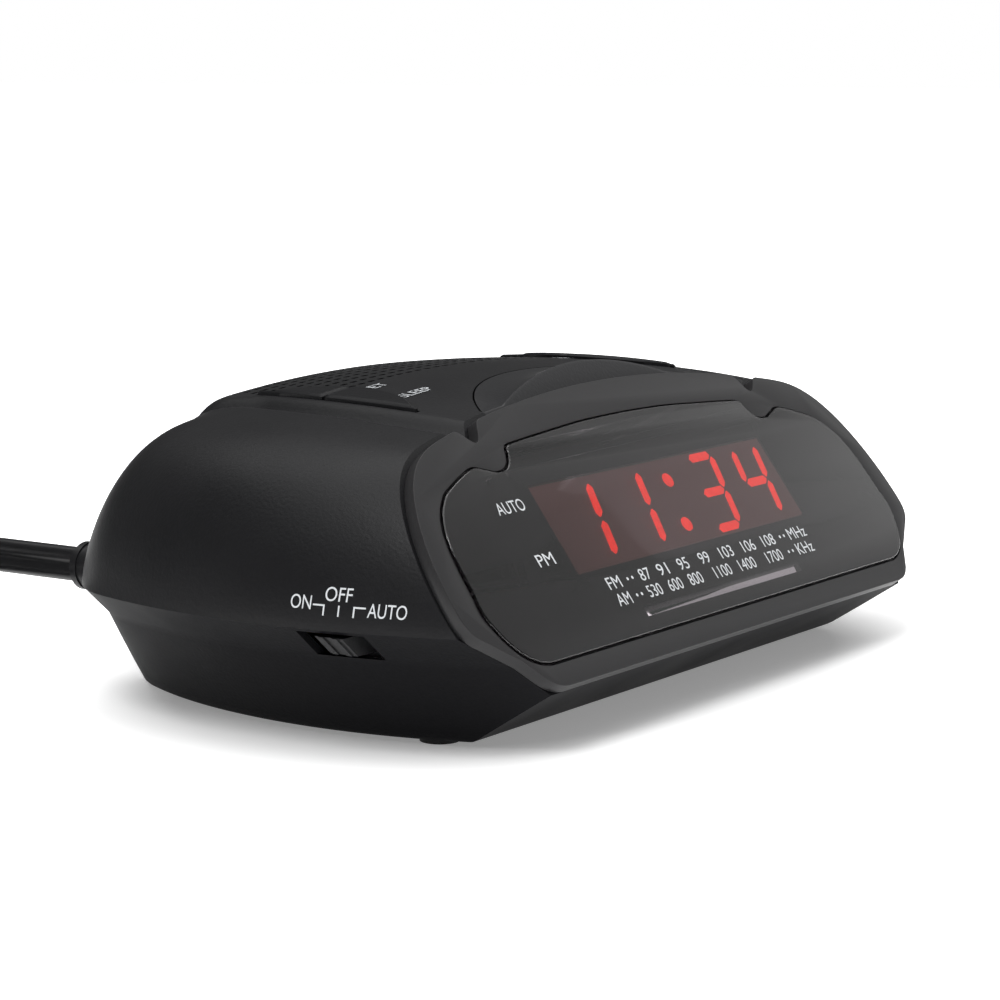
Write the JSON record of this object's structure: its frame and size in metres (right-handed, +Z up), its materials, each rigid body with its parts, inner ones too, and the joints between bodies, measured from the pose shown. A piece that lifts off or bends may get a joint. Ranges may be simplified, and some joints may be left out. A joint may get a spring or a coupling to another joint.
{
  "type": "clock radio",
  "caption": "Compact clock radio with a raked front, smoked display lens, slide dial, top keys, snooze bar, side controls and a mains lead.",
  "frame": {"origin": "on the table under the middle of the case, at the height of the feet", "axes": "+X to the right as the front is seen, +Y to the back, +Z up"},
  "size_m": [0.2378, 0.2186, 0.0592],
  "materials": {
    "case_top": "fine spark texture, black",
    "case_bottom": "fine spark texture, black",
    "front_plate": "satin dark grey",
    "smoked_lens": "smoked clear plastic, polished",
    "snooze": "smooth satin black",
    "keys": "fine texture, black",
    "knobs": "satin black",
    "wheels": "satin black, knurled edge",
    "tin": "tinned",
    "clear_film": "pale moulded capacitor",
    "pointer": "pale",
    "dial_string": "waxed thread",
    "dial_plate": "pale grey",
    "circuit_board": "green solder mask",
    "display_housing": "dark red-brown filter",
    "lit_segments": "lit red",
    "ribbon": "grey ribbon",
    "phenolic_board": "brown phenolic",
    "chip": "moulded epoxy",
    "sleeve": "dark blue sleeve",
    "lamination": "varnished steel",
    "winding": "amber tape",
    "ferrite": "dark ferrite",
    "copper": "enamelled copper",
    "paper_cone": "black paper",
    "magnet": "dark ferrite ring",
    "snap": "black",
    "screws": "zinc plated",
    "rubber": "black rubber",
    "lead": "black flexible vinyl",
    "brass": "bright brass"
  },
  "bodies": {
    "case": {"upper_case": "case_top", "lower_case": "case_bottom", "front_bezel": "front_plate", "display_lens": "smoked_lens", "function_switch": "tin", "band_switch": "tin", "tuning_capacitor": "clear_film", "volume_pot": "tin", "dial_cord": "dial_string", "dial_plate": "dial_plate", "display_board": "circuit_board", "led_housing": "display_housing", "led_segments": "lit_segments", "ribbon_cable": "ribbon", "key_board": "circuit_board", "tact_switches": "tin", "main_board": "phenolic_board", "clock_chip": "chip", "radio_chip": "chip", "if_cans": "tin", "electrolytics": "sleeve", "transformer_core": "lamination", "transformer_winding": "winding", "ferrite_rod": "ferrite", "antenna_coil": "copper", "speaker_frame": "tin", "speaker_cone": "paper_cone", "speaker_magnet": "magnet", "battery_tray": "case_bottom", "battery_snap": "snap", "case_screws": "screws", "board_screws": "screws", "rubber_feet": "rubber", "strain_relief": "lead", "power_cord": "lead", "cord_coil": "lead", "cord_tail": "lead", "plug_body": "lead", "plug_blades": "brass"},
    "snooze_bar": {"snooze_button": "snooze"},
    "set_key": {"set_button": "keys"},
    "sleep_key": {"sleep_button": "keys"},
    "hour_key": {"hour_button": "keys"},
    "minute_key": {"minute_button": "keys"},
    "function_slider": {"function_knob": "knobs"},
    "band_slider": {"band_knob": "knobs"},
    "tuning_control": {"tuning_wheel": "wheels"},
    "volume_control": {"volume_wheel": "wheels"},
    "pointer": {"dial_pointer": "pointer"},
    "bay_door": {"battery_door": "case_bottom"}
  },
  "joints": [
    {"name": "snooze_press", "type": "slide", "parent": "case", "child": "snooze_bar", "axis": [0, 0, -1], "range_m": [0, 0.0015], "stiffness_N_per_m": 600, "springref_m": -0.0008},
    {"name": "set_press", "type": "slide", "parent": "case", "child": "set_key", "axis": [0, 0, -1], "range_m": [0, 0.0012], "stiffness_N_per_m": 600, "springref_m": -0.0008},
    {"name": "sleep_press", "type": "slide", "parent": "case", "child": "sleep_key", "axis": [0, 0, -1], "range_m": [0, 0.0012], "stiffness_N_per_m": 600, "springref_m": -0.0008},
    {"name": "hour_press", "type": "slide", "parent": "case", "child": "hour_key", "axis": [0, 0, -1], "range_m": [0, 0.0012], "stiffness_N_per_m": 600, "springref_m": -0.0008},
    {"name": "minute_press", "type": "slide", "parent": "case", "child": "minute_key", "axis": [0, 0, -1], "range_m": [0, 0.0012], "stiffness_N_per_m": 600, "springref_m": -0.0008},
    {"name": "function_slide", "type": "slide", "parent": "case", "child": "function_slider", "axis": [0, 1, 0], "range_m": [-0.0029, 0.0029]},
    {"name": "band_slide", "type": "slide", "parent": "case", "child": "band_slider", "axis": [0, 1, 0], "range_m": [0, 0.003]},
    {"name": "tuning_turn", "type": "hinge", "parent": "case", "child": "tuning_control", "pos_m": [0.0702, -0.008, 0.0189], "axis": [0, 0, 1], "range_deg": [0, 270]},
    {"name": "volume_turn", "type": "hinge", "parent": "case", "child": "volume_control", "pos_m": [0.0653, 0.024, 0.0189], "axis": [0, 0, 1], "range_deg": [0, 270]},
    {"name": "pointer_slide", "type": "slide", "parent": "case", "child": "pointer", "axis": [1, 0, 0], "range_m": [0, 0.0521]},
    {"name": "door_slide", "type": "slide", "parent": "case", "child": "bay_door", "axis": [0, 0, -1], "range_m": [0, 0.026]}
  ],
  "couplings": [
    {"joint": "pointer_slide", "follows": "tuning_turn", "m_per_rad": 0.011035}
  ]
}
